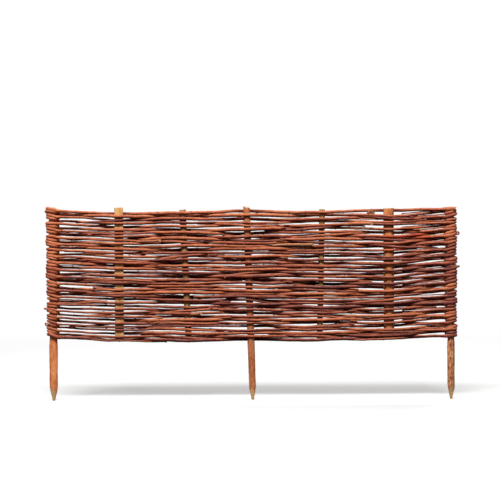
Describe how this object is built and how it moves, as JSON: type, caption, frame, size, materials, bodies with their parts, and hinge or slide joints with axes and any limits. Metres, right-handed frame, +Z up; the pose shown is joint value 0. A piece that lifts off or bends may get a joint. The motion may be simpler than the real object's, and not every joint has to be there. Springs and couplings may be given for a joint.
{
  "type": "woven willow hurdle",
  "caption": "Low garden fence panel of willow rods woven in and out between upright stakes and wound round end posts, with pointed legs to drive into soil.",
  "frame": {"origin": "on the centre post's axis at the ground line, where its axe-cut point starts", "axes": "+X along the hurdle to the right as the picture shows it, +Y from the front to the back, +Z up"},
  "size_m": [1.2029, 0.043, 0.5651],
  "materials": {
    "willow_bark": "red-brown bark",
    "post_bark": "orange-brown bark",
    "stake_bark": "olive-brown bark",
    "split_stake": "split raw wood"
  },
  "bodies": {
    "root": {"left_post": "post_bark", "centre_post": "post_bark", "right_post": "post_bark", "left_inner_stake": "stake_bark", "right_inner_stake": "stake_bark", "left_outer_stake": "split_stake", "right_outer_stake": "split_stake", "willow_rod_01": "willow_bark", "willow_rod_02": "willow_bark", "willow_rod_03": "willow_bark", "willow_rod_04": "willow_bark", "willow_rod_05": "willow_bark", "willow_rod_06": "willow_bark", "willow_rod_07": "willow_bark", "willow_rod_08": "willow_bark", "willow_rod_09": "willow_bark", "willow_rod_10": "willow_bark", "willow_rod_11": "willow_bark", "willow_rod_12": "willow_bark", "willow_rod_13": "willow_bark", "willow_rod_14": "willow_bark", "willow_rod_15": "willow_bark", "willow_rod_16": "willow_bark", "willow_rod_17": "willow_bark", "willow_rod_18": "willow_bark", "willow_rod_19": "willow_bark", "willow_rod_20": "willow_bark", "willow_rod_21": "willow_bark", "willow_rod_22": "willow_bark", "willow_rod_23": "willow_bark", "willow_rod_24": "willow_bark", "willow_rod_25": "willow_bark", "willow_rod_26": "willow_bark", "willow_rod_27": "willow_bark", "willow_rod_28": "willow_bark", "willow_rod_29": "willow_bark", "willow_rod_30": "willow_bark", "willow_rod_31": "willow_bark", "willow_rod_32": "willow_bark", "willow_rod_33": "willow_bark", "willow_rod_34": "willow_bark", "willow_rod_35": "willow_bark", "willow_rod_36": "willow_bark", "willow_rod_37": "willow_bark", "willow_rod_38": "willow_bark"}
  },
  "joints": []
}
